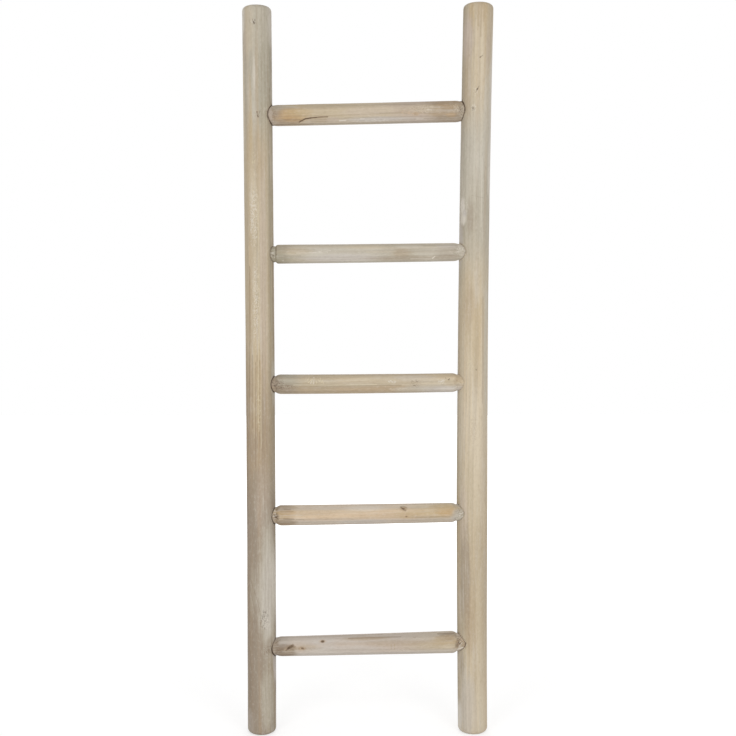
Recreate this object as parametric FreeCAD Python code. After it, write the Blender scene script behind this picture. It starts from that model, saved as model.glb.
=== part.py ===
import FreeCAD, Part
import math
import os

# Decorative ladder of two round poles and five round rungs, in millimetres.
# +Z runs up the poles, +X to the right and -Y to the front.
# The origin lies on the floor, midway between the two feet.

# Whole ladder
ladder_height = 1500.0        # top of the right pole, the taller one
overall_width = 510.5         # across the outsides of the poles at their tops
left_top_drop = 5.5           # the left pole ends this far below the right one

# Poles: slim stems that stand closer at the foot, bow inwards and swell a little
left_diameter = 59.6          # away from the swell
left_swell = 0.4              # thicker by this at the swell
left_toe_in = 1.3             # the foot stands this far inwards of the top
left_bow = 1.6                # bend inwards at half height
right_diameter = 61.5
right_swell = 2.9
right_toe_in = 6.8
right_bow = 5.8
swell_height_share = 0.32     # of the pole's length, from the foot
swell_spread_share = 0.16
end_round = 9.0               # round-over of the sawn pole ends
pole_sections = 13            # circles that each pole is drawn through

# Rungs, listed from the foot upwards
rung_names = ["bottom_rung", "lower_rung", "middle_rung", "upper_rung", "top_rung"]
bottom_rung_height = 185.0    # middle of the lowest rung
top_rung_drop = 218.0         # from the top of the taller pole to the middle of the top rung
rung_rise = 8.0               # how much higher a rung's right end sits
rung_diameter = 42.0
rung_shoulder = 3.3           # step from the rung's body down to its tenon
shoulder_length = 11.0        # length of the rounded shoulder
shoulder_gap = 2.0            # from the shoulder to the side of the pole
back_wall = 20.0              # wood left behind the end of a bore
glue_clearance = 0.2          # between tenon and bore, all round
rung_drift_shares = [0.0, 0.0, -0.011, -0.036, 0.0]
rung_rise_shares = [1.56, 1.0, 0.5, 0.59, 1.41]
rung_forward_shares = [0.58, 0.55, 0.48, 0.52, -0.27]  # of the room in front of the right tenon
left_end_shares = [0.962, 1.022, 0.967, 0.932, 1.01]
right_end_shares = [1.077, 0.965, 0.933, 0.887, 1.041]
shoulder_shares = [0.95, 1.12, 1.0, 0.82, 0.4]

# Nails, one through each joint from the front
nail_length = 35.0
nail_diameter = 2.6
nail_point = 5.0              # length of the pointed tip
nail_head_diameter = 4.0
nail_head_height = 1.5
nail_set = 2.0                # the head is punched this far below the wood
nail_clearance = 0.03         # between nail and wood, all round

cut_overrun = 10.0            # cutters run this far past what they cut

rung_pitch = (ladder_height - top_rung_drop - bottom_rung_height) / (len(rung_names) - 1)

origin = FreeCAD.Vector(0, 0, 0)
rightwards = FreeCAD.Vector(1, 0, 0)
backwards = FreeCAD.Vector(0, 1, 0)
upwards = FreeCAD.Vector(0, 0, 1)

left_pole = {
    "side": -1,
    "length": ladder_height - left_top_drop,
    "diameter": left_diameter,
    "swell": left_swell,
    "toe_in": left_toe_in,
    "bow": left_bow,
}
right_pole = {
    "side": 1,
    "length": ladder_height,
    "diameter": right_diameter,
    "swell": right_swell,
    "toe_in": right_toe_in,
    "bow": right_bow,
}
poles = {"left": left_pole, "right": right_pole}


def arch(share):
    # Zero at both ends of a pole and one at half height
    return 4 * share * (1 - share)


def hump(share):
    # One at the swell and next to nothing at the ends
    return math.exp(-((share - swell_height_share) / swell_spread_share) ** 2)


def pole_radius(pole, height):
    return (pole["diameter"] + pole["swell"] * hump(height / pole["length"])) / 2


def pole_axis(pole, height):
    share = height / pole["length"]
    inset = pole["toe_in"] * (1 - share) + pole["bow"] * arch(share)
    return pole["side"] * (overall_width / 2 - pole["diameter"] / 2 - inset)


def pole_stem(pole):
    rings = []
    for section in range(pole_sections):
        height = pole["length"] * section / (pole_sections - 1)
        centre = FreeCAD.Vector(pole_axis(pole, height), 0, height)
        rings.append(Part.Wire(Part.makeCircle(pole_radius(pole, height), centre, upwards)))
    stem = Part.makeLoft(rings, True, False)
    rims = [edge for edge in stem.Edges if edge.BoundBox.ZLength < end_round / 2]
    return stem.makeFillet(end_round, rims)


def turned(outline):
    # Closes an outline of edges above the X axis and turns it about that axis
    first = outline[0].Vertexes[0].Point
    last = outline[-1].Vertexes[-1].Point
    face = Part.Face(Part.Wire(outline + [Part.makeLine(last, first)]))
    return face.revolve(origin, rightwards, 360)


def laid(shape, start, direction):
    # Puts a shape drawn from the origin along +X where it belongs
    turn = FreeCAD.Rotation(rightwards, direction)
    shape.Placement = FreeCAD.Placement(start, turn)
    return shape


def tenon_radius(index):
    body_diameter = rung_diameter * (left_end_shares[index] + right_end_shares[index]) / 2
    return body_diameter / 2 - rung_shoulder * shoulder_shares[index]


def tenon_end(index, pole):
    # Middle of a tenon's end face, which sits on the end of its bore
    height = bottom_rung_height + (index + rung_drift_shares[index]) * rung_pitch
    height += pole["side"] * rung_rise * rung_rise_shares[index] / 2
    reach = abs(pole_axis(pole, height)) + pole_radius(pole, height) - back_wall
    room = pole_radius(pole, height) - tenon_radius(index)
    forward = room * rung_forward_shares[index] * max(pole["side"], 0)
    return FreeCAD.Vector(pole["side"] * reach, -forward, height)


def rung_line(index):
    start = tenon_end(index, left_pole)
    return start, tenon_end(index, right_pole) - start


def shoulder(neck_at, inwards, neck_radius, body_radius):
    # Edge of the tenon, middle and crest of an arc that runs out along the body
    step = body_radius - neck_radius
    half_turn = math.atan(step / shoulder_length)
    arc_radius = shoulder_length / math.sin(2 * half_turn)
    back = shoulder_length - arc_radius * math.sin(half_turn)
    fall = arc_radius * (1 - math.cos(half_turn))
    neck = FreeCAD.Vector(neck_at, neck_radius, 0)
    middle = FreeCAD.Vector(neck_at + inwards * back, body_radius - fall, 0)
    crest = FreeCAD.Vector(neck_at + inwards * shoulder_length, body_radius, 0)
    return neck, middle, crest


def neck_place(index, pole):
    # How far along the rung's axis its shoulder starts, clear of the pole
    start, along = rung_line(index)
    height = tenon_end(index, pole).z
    side_of_pole = abs(pole_axis(pole, height)) - pole_radius(pole, height) - shoulder_gap
    return along.Length * (pole["side"] * side_of_pole - start.x) / along.x


def rung_body(index):
    start, along = rung_line(index)
    neck_radius = tenon_radius(index)
    left_radius = rung_diameter * left_end_shares[index] / 2
    right_radius = rung_diameter * right_end_shares[index] / 2
    left = shoulder(neck_place(index, left_pole), 1, neck_radius, left_radius)
    right = shoulder(neck_place(index, right_pole), -1, neck_radius, right_radius)
    left_rim = FreeCAD.Vector(0, neck_radius, 0)
    right_rim = FreeCAD.Vector(along.Length, neck_radius, 0)
    outline = [
        Part.makeLine(origin, left_rim),
        Part.makeLine(left_rim, left[0]),
        Part.Arc(*left).toShape(),
        Part.makeLine(left[2], right[2]),
        Part.Arc(*reversed(right)).toShape(),
        Part.makeLine(right[0], right_rim),
        Part.makeLine(right_rim, FreeCAD.Vector(along.Length, 0, 0)),
    ]
    return laid(turned(outline), start, along)


def bore_cutter(index, pole):
    start = tenon_end(index, pole)
    _, along = rung_line(index)
    depth = 2 * pole_radius(pole, start.z) - back_wall + cut_overrun
    cutter = Part.makeCylinder(tenon_radius(index) + glue_clearance, depth, origin, rightwards)
    return laid(cutter, start, along * -pole["side"])


def nail_shape(gap, lead):
    # Drawn from the head along +X; a hole has a gap all round and a lead-in over the head
    head_radius = nail_head_diameter / 2 + gap
    shank_radius = nail_diameter / 2 + gap
    corners = [
        FreeCAD.Vector(-lead, 0, 0),
        FreeCAD.Vector(-lead, head_radius, 0),
        FreeCAD.Vector(nail_head_height + gap, head_radius, 0),
        FreeCAD.Vector(nail_head_height + gap, shank_radius, 0),
        FreeCAD.Vector(nail_length - nail_point, shank_radius, 0),
        FreeCAD.Vector(nail_length + gap, 0, 0),
    ]
    return turned([Part.makeLine(a, b) for a, b in zip(corners, corners[1:])])


def nail_placed(index, pole, gap, lead):
    # Through the middle of the pole, level with the rung's axis there
    start, along = rung_line(index)
    height = start.z
    share = (pole_axis(pole, height) - start.x) / along.x
    height += along.z * share
    front = -pole_radius(pole, height) + nail_set
    head = FreeCAD.Vector(pole_axis(pole, height), front, height)
    return laid(nail_shape(gap, lead), head, backwards)


def nail_hole(index, pole):
    return nail_placed(index, pole, nail_clearance, nail_set + cut_overrun)


def save(name, shape):
    shape.exportStep(os.path.join("parts", name + ".step"))


def build_pole(side, pole):
    stem = pole_stem(pole)
    for index in range(len(rung_names)):
        stem = stem.cut(bore_cutter(index, pole))
        stem = stem.cut(nail_hole(index, pole))
    save(side + "_pole", stem)


def build_rung(index):
    rung = rung_body(index)
    for side, pole in poles.items():
        rung = rung.cut(nail_hole(index, pole))
        save(rung_names[index] + "_" + side + "_nail", nail_placed(index, pole, 0, 0))
    save(rung_names[index], rung)


os.makedirs("parts", exist_ok=True)
for side, pole in poles.items():
    build_pole(side, pole)
for index in range(len(rung_names)):
    build_rung(index)
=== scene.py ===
import bpy
import bmesh
import math
import random
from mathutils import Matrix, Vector, noise


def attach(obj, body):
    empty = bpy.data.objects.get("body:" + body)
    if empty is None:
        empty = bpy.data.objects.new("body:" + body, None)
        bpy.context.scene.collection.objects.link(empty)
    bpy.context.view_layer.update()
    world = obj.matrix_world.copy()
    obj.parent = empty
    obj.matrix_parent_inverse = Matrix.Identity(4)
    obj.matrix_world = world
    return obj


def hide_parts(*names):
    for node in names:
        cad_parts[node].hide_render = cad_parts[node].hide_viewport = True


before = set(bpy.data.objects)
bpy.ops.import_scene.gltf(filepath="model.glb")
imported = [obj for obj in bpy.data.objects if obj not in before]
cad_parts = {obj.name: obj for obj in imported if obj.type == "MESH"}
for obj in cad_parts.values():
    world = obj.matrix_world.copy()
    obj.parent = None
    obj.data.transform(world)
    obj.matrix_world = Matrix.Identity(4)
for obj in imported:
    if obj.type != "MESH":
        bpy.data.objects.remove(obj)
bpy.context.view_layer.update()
mm = 0.001  # meshes are shaped in millimetres and scaled at the end
scene = bpy.context.scene
print("frame loaded:", len(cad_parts), "nodes")


def tone(red, green, blue):  # a colour as a paint program shows it
    levels = [level / 255 for level in (red, green, blue)]
    return tuple(c / 12.92 if c <= 0.04045 else ((c + 0.055) / 1.055) ** 2.4 for c in levels) + (1.0,)


# Tones of the washed wood, from chalky wash down to bare bark brown; some marks in them are painted light
# and shade
chalk = tone(218, 211, 199)
straw = tone(208, 194, 170)
cream = tone(214, 203, 173)
ash = tone(193, 186, 171)
mist = tone(195, 188, 180)
stone = tone(184, 176, 159)
sand = tone(199, 184, 158)
beige = tone(193, 177, 150)
tan = tone(190, 168, 132)
honey = tone(184, 150, 106)
peach = tone(206, 183, 154)
rose = tone(194, 179, 164)
clay = tone(172, 152, 126)
mud = tone(156, 142, 125)
olive = tone(158, 151, 132)
umber = tone(126, 106, 85)
bark = tone(78, 60, 45)
darkTones = (bark, umber)  # marks in these are sunk into the wood


def maths(operation, swapped=False):
    def method(self, other=0.0):
        first, second = (other, self) if swapped else (self, other)
        return self.finish.add("ShaderNodeMath", {"operation": operation}, {0: first, 1: second})
    return method


class Val:  # wraps a socket, so shader maths reads as an expression
    def __init__(self, finish, socket):
        self.finish, self.socket = finish, socket

    __add__, __radd__ = maths("ADD"), maths("ADD", True)
    __sub__, __rsub__ = maths("SUBTRACT"), maths("SUBTRACT", True)
    __mul__, __truediv__, __pow__ = maths("MULTIPLY"), maths("DIVIDE"), maths("POWER")
    over, under, fract = maths("MAXIMUM"), maths("MINIMUM"), maths("FRACT")

    def held(self):  # kept between 0 and 1
        return self.finish.add("ShaderNodeClamp", {}, {0: self})

    def step(self, low, high):  # soft step from 0 at low to 1 at high
        return self.finish.add("ShaderNodeMapRange", {"interpolation_type": "SMOOTHSTEP"},
                               {0: self, 1: low, 2: high, 3: 0.0, 4: 1.0})


class Finish:  # the nodes of one material or of the world
    def __init__(self, owner):
        self.owner = owner
        owner.use_nodes = True
        self.tree = owner.node_tree
        self.tree.nodes.clear()

    def add(self, kind, settings=None, sockets=None, out=0):
        node = self.tree.nodes.new(kind)
        for key, value in (settings or {}).items():
            if key == "stops":
                self.setStops(node.color_ramp, value)
            else:
                setattr(node, key, value)
        for key, value in (sockets or {}).items():
            if isinstance(value, Val):
                self.tree.links.new(value.socket, node.inputs[key])
            else:
                node.inputs[key].default_value = value
        return Val(self, node.outputs[out]) if len(node.outputs) else None

    def setStops(self, ramp, stops):
        ramp.interpolation = "EASE"
        while len(ramp.elements) > 1:
            ramp.elements.remove(ramp.elements[-1])
        ramp.elements[0].position, ramp.elements[0].color = stops[0]
        for place, colour in stops[1:]:
            ramp.elements.new(place).color = colour

    def output(self, shader, kind="Material"):
        self.add("ShaderNodeOutput" + kind, {}, {"Surface": shader})
        return self.owner

    def vector(self, operation, a, b=(0, 0, 0), out=0):
        return self.add("ShaderNodeVectorMath", {"operation": operation}, {0: a, 1: b}, out)

    def scaled(self, vector, factor):
        return self.add("ShaderNodeVectorMath", {"operation": "SCALE"}, {0: vector, "Scale": factor})

    def parts(self, vector):
        node = self.add("ShaderNodeSeparateXYZ", {}, {0: vector}).socket.node
        return [Val(self, out) for out in node.outputs]

    def mix(self, factor, a, b):
        return self.add("ShaderNodeMix", {"data_type": "RGBA"}, {0: factor, 6: a, 7: b}, 2)

    def noise(self, vector, cell, seed, detail=2.0, roughness=0.5):
        place = self.vector("DIVIDE", vector, cell)
        sockets = {"Vector": place, "W": seed, "Scale": 1.0, "Detail": detail, "Roughness": roughness}
        return self.add("ShaderNodeTexNoise", {"noise_dimensions": "4D"}, sockets)


# Patterns of the wood: cell along and across the grain in mm, seed step, and detail and roughness if finer
woodNoise = {
    "sway": (260, 34, 0.0), "drift": (420, 52, 7.3), "fibre": (42, 0.9, 1.1, 3.0, 0.65),
    "streak": (150, 3.0, 2.2, 3.0, 0.6), "band": (360, 11, 3.3), "cloud": (110, 26, 4.4, 3.0, 0.55),
    "flake": (9, 1.6, 5.5, 4.0, 0.7), "ragged": (17, 7, 8.8, 3.0, 0.6),
    "mottle": (6.5, 3.2, 9.9, 3.0, 0.65),
}
straightNoise = ("flake", "ragged", "mottle")  # these do not run round the knots
frayedBy = {  # how much the patterns fray the edges of each kind of mark
    "stain": {"cloud": 0.35, "streak": 0.4, "ragged": 0.5}, "knot": {"ragged": 0.8, "flake": 0.5},
    "line": {"flake": 0.9, "ragged": 0.6}, "seam": {"flake": 0.8, "ragged": 1.2},
}
coats = {  # where each coat or mark starts to show and where it is full
    "late": (0.3, 0.88), "yearEnd": (0.92, 1.0), "foot": (0.5, 2.5), "top": (-2.5, -0.5),
    "warm": (0.5, 0.72), "grey": (0.52, 0.72), "stain": (0.0, 0.6), "streak": (0.52, 0.72),
    "wash": (0.5, 0.66), "halo": (0.0, 0.8), "rim": (0.0, 0.45), "heart": (0.25, 0.8), "pit": (0.1, 0.6),
    "line": (0.25, 1.0), "pore": (0.0, 0.7), "flecks": (0.5, 0.64), "specks": (0.5, 0.59),
    "check": (0.3, 1.0), "inner": (4, 9), "patch": (0.38, 0.58),
}
fineCoats = (  # pattern, edge and share of its dark side, edge and share of its pale side
    ("fibre", (0.54, 0.74), 0.3, (0.56, 0.76), 0.25), ("mottle", (0.5, 0.74), 0.16, (0.5, 0.74), 0.2),
)
shares = {
    "sawnRings": 0.4, "bend": 0.7, "halo": 0.4, "rim": 0.75, "thinPores": 0.25, "sunk": 0.6,
    "raised": -0.4, "check": 0.8, "dirt": 0.2, "patch": 0.3, "flakeRough": 0.25, "lateRough": 0.08,
}
washedBy = {"streak": 0.5, "cloud": 0.5, "flake": 0.25}
bumps = {"fibre": 0.5, "late": 0.25, "streak": 0.4, "flake": 0.25, "pits": -1.2}
knotReach = {"bend": (4.5, 2.4), "eye": (1.5, 1.0), "halo": (3.4, 1.8)}  # in knot sizes
poreCells = {"flecks": (5.0, 1.5, 1.5), "specks": (2.8, 2.0, 2.0)}
poreSeed, checkWidth, dirtAndShadeRun, woodRough = 6.6, 0.9, 2.5, 0.72


def blend(patterns, weights):
    first, *others = [patterns[kind] * weight for kind, weight in weights.items()]
    return sum(others, first)


def washedWood(name, piece):
    f = Finish(bpy.data.materials.new(name))
    grain = f.add("ShaderNodeAttribute", {"attribute_name": "grain"}, {}, "Vector")

    def onSurface(place, turn):  # a mark's place in grain space: along, to the side, to the front
        angle = math.radians(turn)
        radius = piece["skin"](place, angle)
        return (place, radius * math.sin(angle), radius * math.cos(angle))

    def spot(place, turn, length, width):  # 1 in a mark's middle, falling to 0 at its edge
        gap = f.vector("SUBTRACT", grain, onSurface(place, turn))
        return 1 - f.vector("LENGTH", f.vector("DIVIDE", gap, (length, width, width)), out="Value")

    def knotSpot(kind, place, turn, size):
        length, width = knotReach[kind]
        return spot(place, turn, size * length, size * width)

    def fromStroke(start, end):  # distance to a straight stroke
        run = Vector(end) - Vector(start)
        gap = f.vector("SUBTRACT", grain, start)
        share = f.vector("DOT_PRODUCT", gap, tuple(run / run.length_squared), "Value").held()
        rest = f.vector("SUBTRACT", gap, f.scaled(tuple(run), share))
        return f.vector("LENGTH", rest, out="Value")

    def paint(factor, tint):
        nonlocal colour
        colour = f.mix(factor, colour, tint)

    flow = grain  # the grain runs round its knots
    for place, turn, size, _ in piece["knots"]:
        pull = knotSpot("bend", place, turn, size).step(0.0, 1.0) * shares["bend"]
        gap = f.vector("SUBTRACT", grain, onSurface(place, turn))
        flow = f.vector("SUBTRACT", flow, f.scaled(f.vector("MULTIPLY", gap, (0.0, 1.0, 1.0)), pull))
    along, side, depth = f.parts(flow)
    wood = {}
    for kind, (length, width, step, *fine) in woodNoise.items():
        vector = grain if kind in straightNoise else flow
        seed = piece["grainSeed"] + step
        wood[kind] = f.noise(vector, (length, width, width), seed, *fine)
    off = {kind: pattern - 0.5 for kind, pattern in wood.items()}  # from the middle of each pattern
    fray = {mark: blend(off, weights) for mark, weights in frayedBy.items()}

    pithSide = side - piece["pith"][0] + off["sway"] * piece["sway"]
    pithDepth = depth - piece["pith"][1] + off["drift"] * piece["sway"]
    year = ((pithSide * pithSide + pithDepth * pithDepth) ** 0.5 / piece["ringWidth"]).fract()
    wood["late"] = year.step(*coats["late"]) * (1 - year.step(*coats["yearEnd"]))  # dark end of each year
    sawn = (along - piece["span"]).step(*coats["top"]).over(1 - along.step(*coats["foot"]))  # end faces

    colour = f.add("ShaderNodeValToRGB", {"stops": piece["tones"]},
                   {0: (along + off["cloud"] * piece["toneWander"]) / piece["span"]})
    for low, high, wander, tint, share in piece["flanks"]:  # painted light and shade along one side: darker inner sides on the poles, paler tops, paler floor-lit undersides and one darker lower half on the rungs
        paint((side + off["band"] * wander).step(low, high) * share, tint)
    paint(wood["band"].step(*coats["warm"]) * piece["warm"], honey)
    paint((1 - wood["band"]).step(*coats["grey"]) * piece["grey"], olive)
    # spots of tone: mostly stains, but some are painted light on the poles' side edges and painted shade on
    # the rungs' necks
    for *mark, tint, share in piece["stains"]:
        paint((spot(*mark) + fray["stain"]).step(*coats["stain"]) * share, tint)

    paint(wood["late"] * (piece["rings"] + sawn * shares["sawnRings"]), umber)
    paint(wood["streak"].step(*coats["streak"]) * piece["streaks"], umber)
    washed = blend({**wood, "flake": off["flake"]}, washedBy)
    paint(washed.step(*coats["wash"]) * piece["wash"], chalk)
    for kind, darkEdge, dark, paleEdge, pale in fineCoats:
        paint(wood[kind].step(*darkEdge) * dark, umber)
        paint((1 - wood[kind]).step(*paleEdge) * pale, chalk)

    pits = sawn * off["flake"]
    for *mark, share in piece["knots"]:
        eye = knotSpot("eye", *mark) + fray["knot"]
        paint(knotSpot("halo", *mark).step(*coats["halo"]) * shares["halo"], honey)
        paint(eye.step(*coats["rim"]) * shares["rim"], umber)
        paint(eye.step(*coats["heart"]) * share, bark)
        pits = pits + eye.step(*coats["pit"]) * share
    for width, tint, share, *path in piece["lines"]:  # cracks, scratches and facet edges, and a line of painted shade along one shoulder
        points = [onSurface(place, turn) for place, turn in zip(path[::2], path[1::2])]
        gap, *others = [fromStroke(start, end) for start, end in zip(points, points[1:])]
        for other in others:
            gap = gap.under(other)
        stroke = (1 - (gap / width + fray["line"]).step(*coats["line"])) * share
        paint(stroke, tint)
        if tint in darkTones:
            pits = pits + stroke
    for kind, cell in poreCells.items():  # wash or dirt caught in the pores
        for place, turn, length, width, tint, share in piece[kind]:
            patch = spot(place, turn, length, width).step(*coats["pore"])
            pore = f.noise(grain, cell, piece["grainSeed"] + poreSeed + place + width, detail=1.0)
            fleck = (pore - (1 - patch) * shares["thinPores"]).step(*coats[kind]) * patch * share
            paint(fleck, tint)
            pits = pits + fleck * shares["sunk" if tint in darkTones else "raised"]
    for place, start, end in piece["checks"]:  # drying cracks in the sawn ends
        split = fromStroke((place,) + start, (place,) + end) / checkWidth + off["flake"]
        cleft = (1 - split.step(*coats["check"])) * sawn
        paint(cleft * shares["check"], bark)
        pits = pits + cleft

    patchy = wood["cloud"].step(*coats["patch"]) * shares["patch"] + (1 - shares["patch"])
    for centre, radius, clear, run, inner, grime in piece["joints"]:  # painted shade in the seam round each neck, dark inside the bore, and a wider soft ring of painted shade and dirt
        gap = f.vector("MULTIPLY", f.vector("SUBTRACT", grain, centre), (1, 0, 1))
        ring = f.vector("LENGTH", gap, out="Value") - radius + fray["seam"]
        seam = 1 - ring.step(clear, clear + run)
        dirt = 1 - ring.step(clear, clear + run * dirtAndShadeRun)
        if inner:
            facing = (side * inner).step(*coats["inner"])
            seam, dirt = seam * facing, dirt * facing
        paint(dirt * grime * shares["dirt"], umber)
        paint(seam * patchy * grime, bark)

    rough = woodRough + off["flake"] * shares["flakeRough"] - wood["late"] * shares["lateRough"]
    normal = f.add("ShaderNodeBump", {}, {"Strength": 0.5, "Distance": 0.0006,
                                          "Height": blend({**wood, "pits": pits}, bumps)})
    shader = f.add("ShaderNodeBsdfPrincipled", {},
                   {"Base Color": colour, "Roughness": rough, "Normal": normal, "Specular IOR Level": 0.25})
    return f.output(shader)


def openTube(segments, rings):  # straight tube of rings, closed with a small face at each end
    bm = bmesh.new()
    bmesh.ops.create_circle(bm, cap_ends=False, radius=1.0, segments=segments)
    made = bmesh.ops.extrude_edge_only(bm, edges=bm.edges[:])
    top = [v for v in made["geom"] if isinstance(v, bmesh.types.BMVert)]
    bmesh.ops.translate(bm, verts=top, vec=(0, 0, rings - 1))
    walls = [e for e in bm.edges if abs(e.verts[0].co.z - e.verts[1].co.z) > 0.5]
    bmesh.ops.subdivide_edges(bm, edges=walls, cuts=rings - 2, use_grid_fill=True)
    bmesh.ops.holes_fill(bm, edges=[e for e in bm.edges if e.is_boundary], sides=0)
    return bm


# Hand-work: softness of the strokes' edges, how squarely a stroke has to face, fade of the dents, ripple
planing = {
    "placedSoft": 0.15, "randomSoft": 0.35, "facing": 0.7, "fade": 6,
    "rippleLength": 70, "rippleRound": 2.2,
}


def eased(a, b, soft):  # the smaller of two lengths, eased where they meet
    h = min(max(0.5 + 0.5 * (b - a) / soft, 0.0), 1.0)
    return b + (a - b) * h - soft * h * (1 - h)


def planeStrokes(piece):  # flats left by the plane: some listed, the rest at random
    draw = random.Random(piece["seed"])
    strokes = [(math.radians(turn), place, reach, depth, planing["placedSoft"])
               for turn, place, reach, depth in piece["flats"]]
    for _ in range(piece["strokes"]):
        strokes.append((draw.uniform(0, 2 * math.pi), draw.uniform(0, piece["span"]),
                        draw.uniform(*piece["strokeReach"]), draw.uniform(*piece["strokeDepth"]),
                        planing["randomSoft"]))
    return strokes


def handShaped(piece, strokes, along, angle, radius):
    for turn, middle, reach, depth, soft in strokes:
        share = 1 - ((along - middle) / reach) ** 4
        if share > 0:
            facing = math.cos(angle - turn)
            if facing > planing["facing"]:
                radius = eased(radius, (radius - depth * share) / facing, soft)
    for place, turn, length, width, depth in piece["dents"]:
        gap = ((along - place) / length) ** 2
        if gap < planing["fade"]:
            swing = (angle - math.radians(turn) + math.pi) % (2 * math.pi) - math.pi
            radius -= depth * math.exp(-gap - (swing * radius / width) ** 2)
    turns = planing["rippleRound"]
    ripple = noise.noise(Vector((along / planing["rippleLength"], math.cos(angle) * turns,
                                 math.sin(angle) * turns + piece["seed"])))
    return radius - piece["ripple"] * (1 + ripple) / 2


def smoothed(bm, sharp=0.6):  # smooth faces, with a crease where two meet at an angle
    for face in bm.faces:
        face.smooth = True
    for edge in bm.edges:
        edge.smooth = not edge.is_manifold or edge.calc_face_angle(0.0) < sharp


def meshObject(name, bm):
    bmesh.ops.recalc_face_normals(bm, faces=bm.faces[:])
    if bm.calc_volume(signed=True) < 0:  # all faces can come out turned inwards
        bmesh.ops.reverse_faces(bm, faces=bm.faces[:])
    bmesh.ops.scale(bm, vec=(mm, mm, mm), verts=bm.verts[:])
    smoothed(bm)
    mesh = bpy.data.meshes.new(name)
    bm.to_mesh(mesh)
    bm.free()
    obj = bpy.data.objects.new(name, mesh)
    scene.collection.objects.link(obj)
    return obj


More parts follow.
